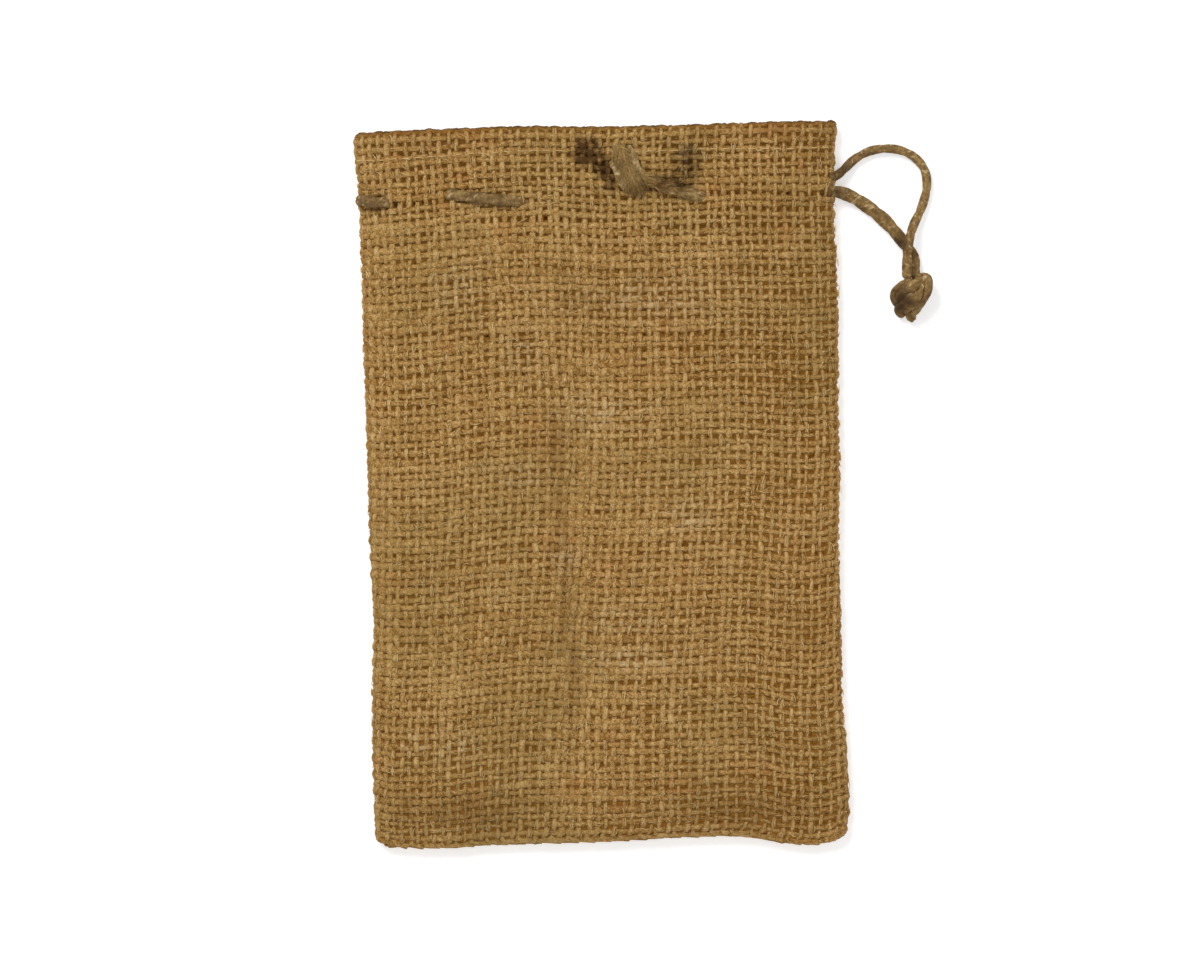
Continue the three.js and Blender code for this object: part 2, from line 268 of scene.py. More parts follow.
def wall_point(across, up, upper, inset):
    """Places on the walls, inset below the outside of the cloth. upper picks the wall."""
    edge, bottom = inset / CLOTH_WIDTH, inset / CLOTH_HEIGHT
    across = edge + across * (1 - 2 * edge)
    up = bottom + up * (1 - bottom)
    x, y = on_outline(across, up)
    from_folds = [across * CLOTH_WIDTH - inset, (1 - across) * CLOTH_WIDTH - inset,
                  up * CLOTH_HEIGHT - inset]
    near = np.minimum(np.minimum(from_folds[0], from_folds[1]), from_folds[2])
    top = plateau(x, y, (1 - up) * CLOTH_HEIGHT) - inset
    base = foot(near, inset)
    above = base + (top - base) * climb(from_folds[0]) * climb(from_folds[1]) * climb(from_folds[2])
    low = inset + np.where(near < FOLD_RADIUS, 0, over_stitch(x, y))
    below = EDGE_HEIGHT + (low - EDGE_HEIGHT) * rounding(near)
    return np.stack([x, y, np.where(upper, above, below)], -1)


def distance_by_arc(height):
    """How far in from a fold one is after each length of cloth, for a wall that climbs so."""
    inward = np.concatenate([[0], np.geomspace(1e-6, 0.2, 600)])
    arc = lengths_along(np.stack([inward, height(inward)], 1))
    return lambda length: np.interp(length, arc, inward), arc[-1] - inward[-1]


MIDDLE = 0.5 * PLY
upper_distance, upper_extra = distance_by_arc(
    lambda d: foot(d, MIDDLE) + (BODY_HEIGHT - MIDDLE - foot(d, MIDDLE)) * climb(d))
lower_distance, lower_extra = distance_by_arc(lambda d: (EDGE_HEIGHT - MIDDLE) * rounding(d))


# --- The grid of crossings -------------------------------------------------------------------
RIM = WEFT_ROWS              # the row number of the yarn that lies in the fold of the rim


def grid_of_crossings():
    """Where each warp crosses each weft, on the middle of the cloth: (warps, rows, 3)."""
    across_span = CLOTH_WIDTH - 2 * MIDDLE
    up_span = CLOTH_HEIGHT - 2 * MIDDLE
    upper_loop = across_span + 2 * upper_extra
    lower_loop = across_span + 2 * lower_extra
    loop = upper_loop + lower_loop
    row_share = (np.arange(WEFT_ROWS + 1) + 0.5) / (WEFT_ROWS + 0.5)
    up = np.repeat(row_share[None], WARPS_AROUND, 0)
    arc = np.repeat(np.arange(WARPS_AROUND)[:, None] / WARPS_AROUND * loop, WEFT_ROWS + 1, 1)

    # The grain leans: towards the bottom the warps drift left, partly round the left fold.
    drift = smoothstep(0.62 - up, 0, 0.62)
    arc = (arc - 0.0026 * drift) % loop
    share = np.clip(arc / upper_loop, 0, 1)
    arc = arc - 0.0034 * drift * np.sin(math.pi * share) ** 1.5
    # Warps lie closer together along the middle trough, and a little wider apart beside it.
    trough = smoothstep(0.8 - up, 0, 0.2) * smoothstep(up, 0.02, 0.2)
    arc = arc - 0.16 * (share - 0.46) * CLOTH_WIDTH * bell(share - 0.46, 0.085) * trough
    # Each yarn wanders a little of its own accord.
    arc = arc + 0.00016 * smooth_noise(WARPS_AROUND, WEFT_ROWS + 1, 5)
    arc = arc + 0.0001 * rng.standard_normal(arc.shape)
    arc = arc % loop
    upper = arc < upper_loop

    # Rows climb to the right near the left fold, and sag just right of the middle.
    side_share = np.where(upper, arc / upper_loop, 1 - (arc - upper_loop) / lower_loop)
    slope = -0.001 * bell(side_share, 0.16) + 0.0007 * bell(side_share - 0.37, 0.12)
    slope = slope - 0.0003 * bell(side_share - 0.66, 0.1) * smoothstep(0.6 - up, 0, 0.3)
    calm = smoothstep(up, 0, 0.08) * smoothstep(1 - up, 0.0, 0.1)
    rows = smooth_noise(WEFT_ROWS + 1, WARPS_AROUND, 6).T * 0.00015 * smoothstep(1 - up, 0, 0.02)
    rows = rows + 0.00009 * rng.standard_normal(arc.shape)
    up_length = np.where(upper, up_span + upper_extra, up_span + lower_extra) * up
    up_length = up_length + slope * calm + rows * np.where(upper, 1.0, 0.4)

    half = np.where(upper, upper_loop, lower_loop) / 2
    side_arc = np.where(upper, arc, arc - upper_loop)
    folded = half - np.abs(side_arc - half)
    inward = np.where(upper, upper_distance(folded), lower_distance(folded))
    from_start = np.where(side_arc < half, inward, across_span - inward)
    across = np.where(upper, from_start, across_span - from_start) / across_span
    climbed = np.where(upper, upper_distance(up_length), lower_distance(up_length))
    up_share = np.clip(climbed, 0, up_span) / (CLOTH_HEIGHT - MIDDLE)
    return wall_point(across, up_share, upper, MIDDLE), upper


def normals_of(grid):
    """Outward normals of the closed grid: it wraps round in the first index, and folds at row 0."""
    around = np.roll(grid, -1, 0) - np.roll(grid, 1, 0)
    folded = np.concatenate([grid[::-1, :1], grid, 2 * grid[:, -1:] - grid[:, -2:-1]], 1)
    upwards = folded[:, 2:] - folded[:, :-2]
    return unit(np.cross(around, upwards))


CORD_REACH = 0.0015          # nearest a crossing may be to the middle of the cord
CORD_FADE = 0.0034           # distance from which crossings are left alone
CORD_PUSH = 0.0011           # furthest a crossing is moved


def around_cord(places, cord_line):
    """Moves the places near the cord's middle line away from it."""
    flat = places.reshape(-1, 3)
    moves = np.zeros_like(flat)
    for start in range(0, len(flat), 2000):
        chunk = flat[start:start + 2000]
        apart = chunk[:, None] - cord_line[None]
        distance = np.linalg.norm(apart, axis=2)
        nearest = distance.argmin(1)
        index = np.arange(len(chunk))
        d = distance[index, nearest]
        away = apart[index, nearest] / np.maximum(d, 1e-9)[:, None]
        wanted = CORD_REACH + (CORD_FADE - CORD_REACH) * np.clip(d / CORD_FADE, 0, 1) ** 1.6
        moves[start:start + 2000] = away * np.clip(wanted - d, 0, CORD_PUSH)[:, None]
    moves = moves.reshape(places.shape)
    eased = 0.6 * moves + 0.1 * (np.roll(moves, 1, 0) + np.roll(moves, -1, 0))
    eased[:, 1:-1] += 0.1 * (moves[:, 2:] + moves[:, :-2])
    return places + eased


# --- Stains, tints and thin places, by where they are on the cloth ---------------------------
STAINS = [                   # centre x, y, half sizes, turn in degrees, strength
    (-0.003, 0.0698, 0.004, 0.0042, 0, 1.0),
    (0.0002, 0.0672, 0.0062, 0.0028, -55, 1.0),
    (0.0022, 0.0632, 0.0026, 0.002, -50, 0.85),
    (0.0182, 0.0668, 0.0034, 0.0058, 0, 0.82),
    (0.017, 0.0636, 0.0034, 0.0026, 0, 0.8),
    (0.014, 0.064, 0.004, 0.0026, 20, 0.75),
    (0.016, 0.07, 0.0046, 0.0034, 0, 0.5),
]
WARM_PLACES = [              # where the jute is a little redder
    (-0.0203, 0.0535, 0.002, 0.0024), (0.039, 0.0535, 0.002, 0.0026),
    (0.0125, 0.0624, 0.0016, 0.0016), (-0.0328, 0.0583, 0.0022, 0.0013),
    (-0.029, 0.0647, 0.0016, 0.0014), (0.0237, 0.0617, 0.0016, 0.0024),
    (0.0421, 0.0672, 0.0012, 0.0026), (0.036, 0.0745, 0.005, 0.0012),
    (-0.026, -0.0655, 0.0012, 0.003), (0.0165, -0.064, 0.003, 0.0016),
    (0.033, -0.06, 0.005, 0.0014), (-0.043, 0.069, 0.001, 0.0016),
]
SHADED_PLACES = [              # painted shade along the middle trough, above the bottom fold, at the mouth's fold and beside the cord at the left edge
    (-0.0094, 0.008, 0.0016, 0.006), (-0.0084, -0.008, 0.0015, 0.011),
    (-0.0072, -0.024, 0.0014, 0.01), (-0.0058, -0.04, 0.0016, 0.009),
    (-0.0465, 0.06, 0.002, 0.0024),
    (0.03, -0.069, 0.016, 0.004), (-0.03, -0.069, 0.014, 0.004),
    (-0.036, 0.082, 0.024, 0.011), (0.03, 0.084, 0.026, 0.01),
]
THIN_PLACES = [              # where both walls are worn thin and light comes through; the material paints a pale tint there for that light
    (-0.03, 0.0425, 0.004, 0.0045), (-0.0165, 0.029, 0.003, 0.004),
    (0.0115, 0.0385, 0.0125, 0.004), (-0.0005, 0.015, 0.009, 0.003),
    (-0.0165, 0.002, 0.0055, 0.002), (-0.0082, -0.016, 0.003, 0.003),
    (0.006, -0.037, 0.01, 0.0022), (0.005, -0.029, 0.007, 0.0022),
    (0.019, -0.0065, 0.004, 0.003), (-0.03, -0.055, 0.0035, 0.0025),
    (-0.039, -0.055, 0.003, 0.002),
]


RIM_SHADE = 0.85             # how dark the painted shade on the mouth's fold is


def stain_at(x, y):
    found = 0.0
    for at_x, at_y, wide, high, turn, strength in STAINS:
        angle = math.radians(turn)
        dx, dy = x - at_x, y - at_y
        u = (dx * math.cos(angle) + dy * math.sin(angle)) / wide
        v = (dy * math.cos(angle) - dx * math.sin(angle)) / high
        found = np.maximum(found, strength * np.exp(-(u * u + v * v) ** 1.4))
    return found


def patches_at(patches, x, y):
    found = 0.0
    for at_x, at_y, wide, high in patches:
        found = np.maximum(found, np.exp(-((x - at_x) / wide) ** 2 - ((y - at_y) / high) ** 2))
    return found


def on_shaded_rim(x, y):
    """Near 1 on the outermost part of the mouth's fold, which gets painted shade."""
    mouth = EDGES[3]
    return smoothstep(y - np.interp(x, mouth[:, 0], mouth[:, 1]), -0.0009, -0.0005)


def openness(x, y):
    """From -1 where the cloth is dense to 1 where it is open."""
    found = 0.9 * smoothstep(x, 0.02, 0.036) + 0.2
    found = found + 0.6 * smoothstep(y, 0.052, 0.06) + 0.8 * smoothstep(-y, 0.056, 0.064)
    found = found - 0.9 * bell(x + 0.004, 0.01) * smoothstep(0.05 - y, 0, 0.02)
    found = found - 0.5 * bell(x + 0.028, 0.016) * bell(y - 0.035, 0.02)
    found = found - 1.0 * smoothstep(-x, 0.04, 0.047)
    found = found - 0.8 * bell(x - 0.0395, 0.0022) * bell(y - 0.052, 0.006)
    return np.clip(found, -1, 1)


# --- Yarns -----------------------------------------------------------------------------------
def tubes_piece(name, tubes, attributes):
    """One piece of closed tubes, with attributes given for every point by name.

    Each tube is its rings of points, (rings, sides, 3), and how far along each ring is. UV map
    Strand runs round and along each tube, in hundredths of a metre along. OFBake lays the tubes
    side by side, with a margin round each.
    """
    longest = max(along[-1] for _, along in tubes)
    all_corners, face_sizes, strand, bake = [], [], [], []
    first = 0
    for number, (points, along) in enumerate(tubes):
        rings, sides = points.shape[:2]
        here = np.arange(sides)
        after = (here + 1) % sides
        ring = np.arange(rings - 1)[:, None] * sides
        quads = np.stack([ring + here, ring + sides + here, ring + sides + after, ring + after], -1)
        caps = [here, here[::-1]]
        corners = np.concatenate([quads.ravel(), caps[0], (rings - 1) * sides + caps[1]])
        quad_turns = np.tile(np.stack([here, here, here + 1, here + 1], -1).ravel(), rings - 1)
        turns = np.concatenate([quad_turns, *caps]) / sides
        run = along[corners // sides]
        all_corners.append(first + corners)
        face_sizes.append([4] * (quads.size // 4) + [sides, sides])
        strand.append(np.stack([turns, 100 * run], -1))
        bake.append(np.stack([(number + 0.04 + 0.92 * turns) / len(tubes),
                              0.002 + 0.996 * run / longest], -1))
        first += rings * sides
    sizes = np.concatenate(face_sizes)
    mesh = bpy.data.meshes.new(name)
    mesh.vertices.add(first)
    mesh.vertices.foreach_set("co", np.concatenate([points.ravel() for points, _ in tubes]))
    mesh.loops.add(sizes.sum())
    mesh.loops.foreach_set("vertex_index", np.concatenate(all_corners))
    mesh.polygons.add(len(sizes))
    mesh.polygons.foreach_set("loop_start", np.cumsum(sizes) - sizes)
    mesh.update(calc_edges=True)
    mesh.polygons.foreach_set("use_smooth", np.ones(len(sizes), bool))
    for uv_name, places in (("Strand", strand), ("OFBake", bake)):
        uv = mesh.uv_layers.new(name=uv_name).uv
        uv.foreach_set("vector", np.concatenate(places).ravel())
    for attribute, values in attributes.items():
        kind, key = ("FLOAT_VECTOR", "vector") if values.ndim == 2 else ("FLOAT", "value")
        data = mesh.attributes.new(attribute, kind, "POINT").data
        data.foreach_set(key, values.ravel())
    mesh.validate()
    piece = bpy.data.objects.new(name, mesh)
    bpy.context.collection.objects.link(piece)
    return piece


def jute_tubes(name, line, normal, width, height, sides, tone, crown=None, turn=None, lit=None):
    """One piece of flattened tubes of jute.

    line and normal are (tubes, rings, 3), the rest (tubes, rings): tone shades the tube, crown
    says where it rides high, and turn is how far its section has turned. lit, from -1 to 1, is
    how far every side counts as facing outwards, if given.
    """
    crown = np.zeros(line.shape[:2]) if crown is None else crown
    turn = np.zeros(line.shape[:2]) if turn is None else turn
    tangent = unit(np.gradient(line, axis=1))
    side = unit(np.cross(tangent, normal))
    upwards = np.cross(side, tangent)
    angle = 2 * math.pi * np.arange(sides) / sides
    across = 0.5 * width[:, :, None] * np.cos(angle)
    out = 0.5 * height[:, :, None] * np.sin(angle)
    cos_turn, sin_turn = np.cos(turn)[:, :, None], np.sin(turn)[:, :, None]
    sideways = across * cos_turn - out * sin_turn
    outward = across * sin_turn + out * cos_turn
    points = (line[:, :, None] + side[:, :, None] * sideways[..., None]
              + upwards[:, :, None] * outward[..., None])
    facing = outward / (0.5 * np.maximum(width, height)[:, :, None])
    if lit is not None:
        facing = np.full_like(facing, lit)

    x, y = line[..., 0], line[..., 1]
    stain_and_shade, high, warm, dark, thin, shade = [np.repeat(values.ravel(), sides) for values in (
        stain_at(x, y), crown, patches_at(WARM_PLACES, x, y), patches_at(SHADED_PLACES, x, y),
        patches_at(THIN_PLACES, x, y), tone)]
    # The mouth's fold gets painted shade through the same mask as the stains.
    stain_and_shade = np.maximum(stain_and_shade, RIM_SHADE * on_shaded_rim(points[..., 0], points[..., 1]).ravel())
    return tubes_piece(name, list(zip(points, lengths_along(line))), {
        "marks": np.stack([stain_and_shade, facing.ravel(), high], -1),
        "tints": np.stack([warm, dark, thin], -1), "tone": shade})


def between(nodes, samples, smooth=True):
    """Values on samples rings from each node to the next, (tubes, rings, ...)."""
    before = np.concatenate([2 * nodes[:, :1] - nodes[:, 1:2], nodes[:, :-1]], 1)[:, :-1]
    a, b = nodes[:, :-1], nodes[:, 1:]
    after = np.concatenate([nodes, 2 * nodes[:, -1:] - nodes[:, -2:-1]], 1)[:, 2:]
    found = []
    for t in np.arange(samples) / samples:
        if smooth:
            found.append(0.5 * (2 * a + (b - before) * t + (2 * before - 5 * a + 4 * b - after)
                                * t**2 + (3 * a - before - 3 * b + after) * t**3))
        else:
            found.append(a + (b - a) * (0.5 - 0.5 * math.cos(math.pi * t)))
    stacked = np.stack(found, 2).reshape(nodes.shape[0], -1, *nodes.shape[2:])
    return np.concatenate([stacked, nodes[:, -1:]], 1)


def yarns(name, nodes, normal, over, crimp, width, tone, samples=3, sides=6, lit=None):
    """Woven yarns through nodes (tubes, nodes, 3), each swinging along its normal by crimp."""
    line = between(nodes, samples)
    up = unit(between(normal, samples))
    crown = between(over, samples, smooth=False)
    line = line + up * (crimp * crown)[..., None]
    tubes, rings = line.shape[:2]
    turn = 2 * math.pi * lengths_along(line) / YARN_TURN + rng.uniform(0, 2 * math.pi, (tubes, 1))
    wide = between(width, samples) * (1 + 0.05 * rng.standard_normal((tubes, rings)))
    high = YARN_THICKNESS * (wide / YARN_WIDTH) ** 0.6
    return jute_tubes(name, line, up, 1.06 * wide, 1.05 * high, sides, between(tone, samples),
                     crown, 0.3 * np.sin(turn), lit)


def yarn_widths(nodes, upper, own, front_width, back_width):
    """Width of each yarn at each crossing: its own slubs, and thinner where the cloth is open."""
    x, y = nodes[..., 0], nodes[..., 1]
    thin = patches_at(THIN_PLACES, x, y)
    front = np.clip(own, 0.7, 1.45) * (1 - 0.2 * openness(x, y)) * (1 - 0.15 * thin)
    return np.where(upper, front_width * front, back_width * (1 - 0.1 * thin))


def slubs(tubes, count):
    """How thick each yarn is along its length, about 1."""
    own = 1 + 0.07 * rng.standard_normal((tubes, 1)) + 0.15 * smooth_noise(tubes, count, 4)
    return own + 0.08 * rng.standard_normal((tubes, count))


def tones(tubes, count):
    """How light each yarn is along its length, about 0.5."""
    own = 0.5 + 0.07 * rng.standard_normal((tubes, 1))
    return own + 0.07 * smooth_noise(tubes, count, 4) + 0.07 * rng.standard_normal((tubes, count))


def weave(kind, crimp, values, front, back):
    """The front's and the back's yarns of one kind. The back's are simpler, as they lie below."""
    pieces = {}
    for wall, part, samples, sides in (("front", front, 3, 6), ("back", back, 2, 5)):
        name = f"cloth_{wall}_{kind}"
        nodes, ways, swing, widths, shades = [value[part] for value in values]
        pieces[name] = yarns(name, nodes, ways, swing, crimp, widths, shades, samples, sides)
    return pieces


def weave_warps(grid, normal, upper, over):
    """Warps run round the bottom fold, up the wall and over the rim into the hem."""
    along = unit(grid[:, RIM] - grid[:, RIM - 1])[:, None]
    rim = grid[:, RIM:] - normal[:, RIM:] * 0.5 * HEM_INSET
    hem_rows = slice(RIM - 1, RIM - 3, -1)
    nodes = np.concatenate([grid[::-1, 1::-1], grid[:, :RIM], rim,
                            grid[:, hem_rows] - normal[:, hem_rows] * HEM_INSET], 1)
    ways = np.concatenate([normal[::-1, 1::-1], normal[:, :RIM], along, -normal[:, hem_rows]], 1)
    swing = np.concatenate([over[::-1, 1::-1], over, -over[:, :1] * [1, -1]], 1)
    swing[:, 2 + RIM] *= 0.35
    on_top = np.concatenate([upper[::-1, 1::-1], upper, upper[:, hem_rows]], 1)
    widths = yarn_widths(nodes, on_top, slubs(*nodes.shape[:2]), WARP_WIDTH, BACK_WARP_WIDTH)
    # Painted light: warps are toned lighter than wefts, for the light the raised warps catch.
    shades = tones(*nodes.shape[:2]) + 0.16
    return weave("warp", WARP_CRIMP, (nodes, ways, swing, widths, shades),
                 np.arange(WARPS_AROUND // 2 + 1), np.arange(WARPS_AROUND // 2 + 1, WARPS_AROUND))


def weave_wefts(grid, normal, upper, over):
    """Each weft goes round the sack in two lengths that lap at the folds."""
    rim_way = unit(grid[:, RIM] - grid[:, RIM - 1])
    nodes = np.concatenate([grid[:, :RIM], grid[:, RIM:] - normal[:, RIM:] * 0.5 * HEM_INSET], 1)
    ways = np.concatenate([normal[:, :RIM], rim_way[:, None]], 1)
    nodes, ways = nodes.swapaxes(0, 1), ways.swapaxes(0, 1)
    widths = yarn_widths(nodes, upper.T, slubs(WEFT_ROWS + 1, WARPS_AROUND), WEFT_WIDTH,
                         BACK_WEFT_WIDTH)
    # Painted shade: wefts are toned darker than warps, as they lie lower.
    shades = tones(WEFT_ROWS + 1, WARPS_AROUND) - 0.12
    half, lap = WARPS_AROUND // 2, 2
    front = np.arange(-lap, half + lap + 1) % WARPS_AROUND
    back = np.arange(half + lap, WARPS_AROUND - lap + 1)
    return weave("weft", WEFT_CRIMP, (nodes, ways, -over.T, widths, shades),
                 (slice(None), front), (slice(None), back))


def weave_hem(grid, normal):
    """The turned-in hem, inside the mouth."""
    rows = slice(RIM - 1, RIM - 1 - HEM_ROWS, -1)
    nodes = grid[:, rows] - normal[:, rows] * HEM_INSET
    ways = -normal[:, rows]
    over = np.where((np.arange(WARPS_AROUND)[:, None] + np.arange(HEM_ROWS)) % 2 == 0, 1.0, -1.0)
    ring = np.arange(WARPS_AROUND + 1) % WARPS_AROUND
    across = (nodes[ring].swapaxes(0, 1), ways[ring].swapaxes(0, 1), -over[ring].T)
    pieces = {}
    for name, (line, up, swing), crimp in (
            ("cloth_hem_warp", (nodes, ways, over), WARP_CRIMP),
            ("cloth_hem_weft", across, WEFT_CRIMP)):
        pieces[name] = yarns(name, line, up, swing, crimp, np.full(swing.shape, HEM_WIDTH),
                             tones(*swing.shape), 2, 4, lit=HEM_LIT)
    return pieces


def make_cloth(cord_line):
    grid, upper = grid_of_crossings()
    grid = around_cord(grid, cord_line)
    normal = normals_of(grid)
    number = np.arange(WARPS_AROUND)[:, None] + np.arange(WEFT_ROWS + 1)
    over = np.where(number % 2 == 0, 1.0, -1.0)
    pieces = {**weave_warps(grid, normal, upper, over), **weave_wefts(grid, normal, upper, over),
              **weave_hem(grid, normal)}
    return pieces, grid, normal, over


# --- Hem stitching and loose fibres ----------------------------------------------------------
STITCH_ROW = 3               # rows below the rim at which the hem is sewn
STITCH_PITCH = 0.0027
THREAD = 0.00024
FIBRE_COUNT = 8000


def make_hem_stitching(grid, normal):
    """Short machine stitches of fine thread right round the mouth, sunk at their ends."""
    row = RIM - STITCH_ROW
    loop = np.concatenate([grid[:, row], grid[:1, row]])
    out = np.concatenate([normal[:, row], normal[:1, row]])
    along = lengths_along(loop)
    count = int(along[-1] / STITCH_PITCH)
    start = np.arange(count)[:, None] * along[-1] / count
    share = np.linspace(0, 1, 7)
    at = start + 0.8 * STITCH_PITCH * share
    line = np.stack([np.interp(at, along, loop[:, k]) for k in range(3)], -1)
    up = unit(np.stack([np.interp(at, along, out[:, k]) for k in range(3)], -1))
    lift = MIDDLE - 0.00006 - 0.0009 * np.abs(2 * share - 1) ** 4
    size = np.full(at.shape, THREAD)
    return jute_tubes("hem_stitching", line + up * lift[:, None], up, size, size, 5,
                      np.full(at.shape, 0.15))


def curved_fibres(start, up, flat, length, bend, rise_by, rings):
    """Lines of fibres that start at a place, run along flat, curve by bend and lift by rise_by."""
    share = np.linspace(0, 1, rings)[None, :, None]
    sideways = np.cross(up, flat)
    line = (start[:, None] + flat[:, None] * (share - 0.4) * length[:, None]
            + sideways[:, None] * (share - 0.4) ** 2 * (bend * length)[:, None]
            + up[:, None] * share**1.5 * (rise_by * length)[:, None])
    line[..., 2] = np.maximum(line[..., 2], 0.0001)
    return line, share[..., 0]


def make_fibres(grid, normal, over):
    """Short pale jute fibres that lie on the yarns and bridge the holes between them; their bright
    colour also serves as painted highlights on the yarns.
    """
    count = FIBRE_COUNT
    i = rng.integers(0, WARPS_AROUND, count)
    j = rng.integers(1, RIM - 1, count)
    # Half of those on a weft move up a row, on to the warp, since more warp than weft shows.
    j = j + ((over[i, j] < 0) & (rng.random(count) < 0.5))
    up = normal[i, j]
    warp_way = unit(grid[i, j + 1] - grid[i, j])
    weft_way = np.cross(warp_way, up)
    on_weft = over[i, j] < 0
    turn = rng.normal(0.1, 0.24, (count, 1))
    main = np.where(on_weft[:, None], weft_way, warp_way)
    cross = np.where(on_weft[:, None], warp_way, -weft_way)
    flat = main * np.cos(turn) + cross * np.sin(turn)
    top = np.where(on_weft, WEFT_CRIMP, WARP_CRIMP) + 0.47 * YARN_THICKNESS
    start = (grid[i, j] + up * top[:, None] + cross * rng.normal(0, 0.0003, (count, 1))
             + main * rng.normal(0, 0.0004, (count, 1)))
    length = rng.uniform(0.0009, 0.002, (count, 1))
    line, share = curved_fibres(start, up, flat, length, rng.normal(0, 0.5, (count, 1)),
                                np.abs(rng.normal(0, 0.05, (count, 1))), 4)
    size = rng.uniform(0.00012, 0.00027, (count, 1)) * (1 - 0.5 * np.abs(2 * share - 0.8))
    tone = np.broadcast_to(rng.uniform(0.2, 1.0, (count, 1)), size.shape)
    return jute_tubes("stray_fibres", line, np.repeat(up[:, None], 4, 1), size, size, 3, tone,
                      lit=1)


# --- The cord and its knot -------------------------------------------------------------------
def carried_normals(line):
    """A normal at each point of a line, carried along it and easing back towards straight up."""
    now = np.array([0.0, 0.0, 1.0])
    normal = np.empty_like(line)
    for k, direction in enumerate(unit(np.gradient(line, axis=0))):
        now = now + np.array([0.0, 0.0, 0.05])
        now = now - direction * now.dot(direction)
        now /= np.linalg.norm(now)
        normal[k] = now
    return normal


CORD_SIDES = 20
CORD_STEP = 0.00028          # between rings of the cord
PLAIT_LENGTH = 0.005         # in which a plait winds once round
PLAIT_RELIEF = 0.11          # share of the radius by which plaits stand out
# Painted shade in the knot, at crossings and where the cord enters the cloth; a darker tone
# elsewhere.
SHADED_AND_GRIMY_PLACES = [             # centre, reach, strength
    ((0.0638, 0.0395), 0.0023, 1.0), ((0.0632, 0.0376), 0.0018, 1.0),
    ((0.0633, 0.0511), 0.0017, 1.0), ((0.0652, 0.0386), 0.0014, 1.0),
    ((0.0515, 0.0668), 0.0026, 0.8), ((0.05, 0.0618), 0.0014, 0.8),
    ((-0.024, 0.0602), 0.009, 0.28), ((-0.0475, 0.0597), 0.006, 0.32),
    ((0.06, 0.071), 0.005, 0.16),
]


def cord_shade_and_grime(places):
    """Where the cord is darker: painted shade in the knot, at crossings and where it enters the
    cloth, and a darker tone along the stitches and the upper strand.
    """
    found = 0.0
    for centre, reach, strength in SHADED_AND_GRIMY_PLACES:
        distance = np.linalg.norm(places[..., :2] - np.array(centre), axis=-1)
        found = np.maximum(found, strength * bell(distance, reach))
    return found


def on_front(places):
    """1 on the hump on the front of the sack, where the cord is rubbed pale and fuzzy."""
    beside_hump = smoothstep(places[..., 0], -0.01, -0.006)
    return beside_hump * smoothstep(places[..., 2], 0.0075, 0.0095)


def braided_cord(name, lines, width, thickness):
    """Braided cord along lines: flattened, with the plaits raised on its surface.

    width and thickness are values at even shares of each line.
    """
    tubes, marks, shades = [], [], []
    angle = 2 * math.pi * np.arange(CORD_SIDES)[None] / CORD_SIDES
    for number, line in enumerate(lines):
        length = lengths_along(line)[-1]
        line = evenly(line, max(int(length / CORD_STEP), 8))
        along = lengths_along(line)
        share = along / length
        normal = carried_normals(line)
        side = np.cross(unit(np.gradient(line, axis=0)), normal)
        wave = 2 * math.pi * along[:, None] / PLAIT_LENGTH
        plait = np.maximum(np.cos(4 * angle + wave), np.cos(4 * angle - wave))
        radius = 0.5 * (1 + PLAIT_RELIEF * (plait - 0.5))
        from_end = np.minimum(along, length - along) / (0.4 * np.mean(width))
        cap = np.maximum(np.sin(np.clip(from_end, 0, 1) * math.pi / 2), 0.3)
        wide = np.interp(share, np.linspace(0, 1, len(width)), width) * cap
        thick = np.interp(share, np.linspace(0, 1, len(thickness)), thickness) * cap
        ring = (line[:, None] + side[:, None] * (wide[:, None] * radius * np.cos(angle))[..., None]
                + normal[:, None] * (thick[:, None] * radius * np.sin(angle))[..., None])
        # Painted shade: low in the grooves between plaits and on the cord's sides and underside.
        groove_shade = plait - 1.3 * (1 - np.maximum(np.sin(angle), 0)) ** 2
        tubes.append((ring, along))
        marks.append(np.stack([groove_shade, cord_shade_and_grime(ring), on_front(ring)], -1).reshape(-1, 3))
        shades.append(np.full(ring.shape[0] * CORD_SIDES, (number * 0.37) % 1))
    return tubes_piece(name, tubes, {"tone": np.concatenate(shades), "marks": np.vstack(marks)})


# Width of the cord at even shares of its length: pressed flat in the lower strand and the
# stitches, and rounder in the upper strand.
CORD_WIDTHS = [
    0.002, 0.0029, 0.0026, 0.0023, 0.0023, 0.0023, 0.0023, 0.0022, 0.0023, 0.0024, 0.0024,
    0.0023, 0.0021, 0.0021, 0.0021, 0.0021, 0.002, 0.0019, 0.0019, 0.00185, 0.0019, 0.0021,
]
CORD_THICKNESSES = [0.0018]

